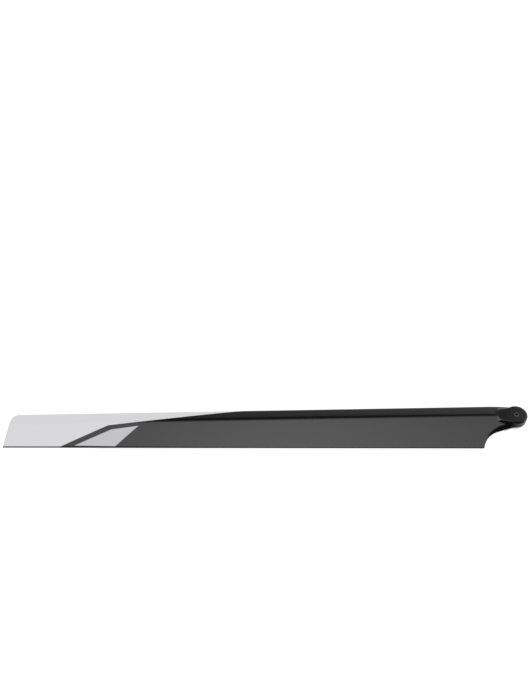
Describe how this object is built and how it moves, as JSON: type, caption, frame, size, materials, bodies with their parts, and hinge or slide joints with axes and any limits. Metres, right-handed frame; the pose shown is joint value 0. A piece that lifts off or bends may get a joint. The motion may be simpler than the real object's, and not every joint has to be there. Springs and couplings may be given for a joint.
{
  "type": "helicopter rotor blade",
  "caption": "Tapered composite rotor blade for a model helicopter: symmetric aerofoil, round bolt root with a metal bushing, bevelled root cut-out and a white painted tip.",
  "frame": {"origin": "middle of the bore for the blade bolt, at half the thickness of the root", "axes": "+X along the span from the bolt to the tip, +Y towards the trailing edge, +Z along the bolt out of the face with the painted stripe"},
  "size_m": [0.9184, 0.0852, 0.014],
  "materials": {
    "laminate": "gloss clear coat over dark carbon laminate, white painted fields at the tip, matt clamping faces",
    "bushing": "turned and dulled dark"
  },
  "bodies": {
    "root": {"blade": "laminate", "root_bushing": "bushing"}
  },
  "joints": []
}
